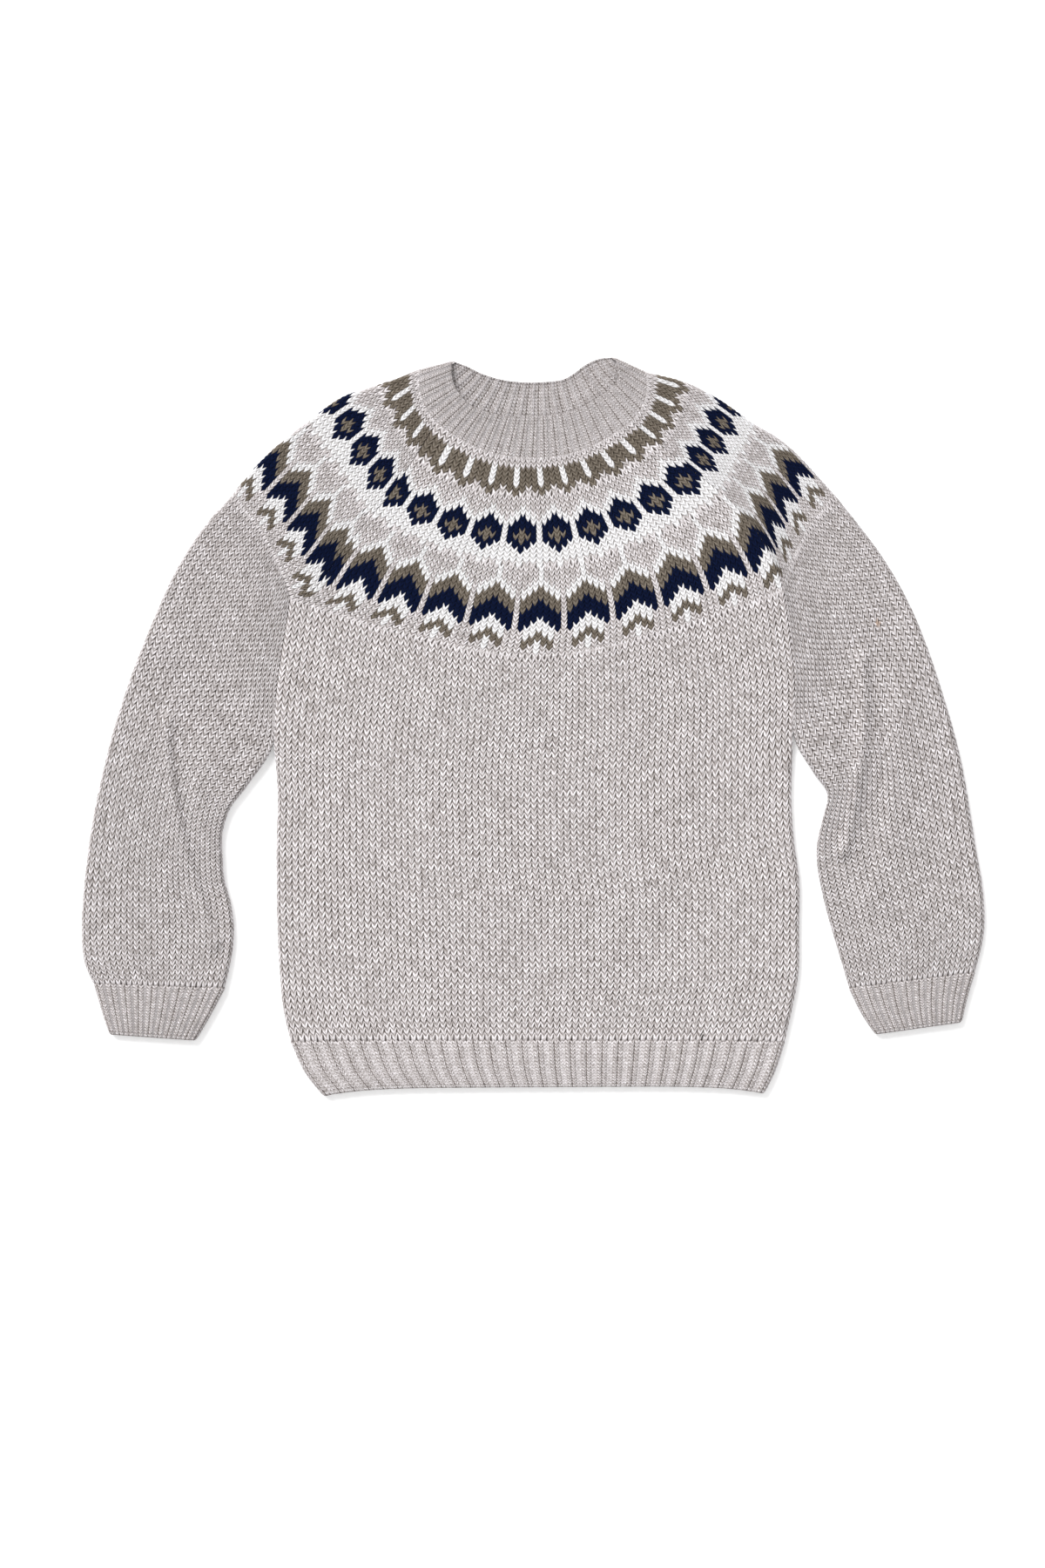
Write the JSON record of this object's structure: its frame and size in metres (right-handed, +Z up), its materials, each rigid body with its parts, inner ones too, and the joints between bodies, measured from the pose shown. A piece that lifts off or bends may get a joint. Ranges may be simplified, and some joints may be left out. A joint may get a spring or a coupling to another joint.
{
  "type": "fair isle sweater",
  "caption": "Child's knitted pullover with a patterned round yoke, ribbed neckband, cuffs and hem, laid flat on its back.",
  "frame": {"origin": "on the surface that the sweater lies on, under the middle of its outline", "axes": "+X towards the wearer's left, +Y from hem to neck, +Z up from the surface, out of the front"},
  "size_m": [0.6213, 0.5082, 0.0091],
  "materials": {
    "plain_knit": "heather plain knit, double knitting yarn",
    "patterned_knit": "plain knit in four colours: heather, white, olive brown and navy",
    "rib_knit": "heather ribbing"
  },
  "bodies": {
    "root": {"front": "plain_knit", "back": "plain_knit", "sleeve_left": "plain_knit", "sleeve_right": "plain_knit", "yoke_front": "patterned_knit", "yoke_back": "patterned_knit", "yoke_shoulder_left": "patterned_knit", "yoke_shoulder_right": "patterned_knit", "hem_rib_front": "rib_knit", "hem_rib_back": "rib_knit", "cuff_left": "rib_knit", "cuff_right": "rib_knit", "neckband": "rib_knit"}
  },
  "joints": []
}
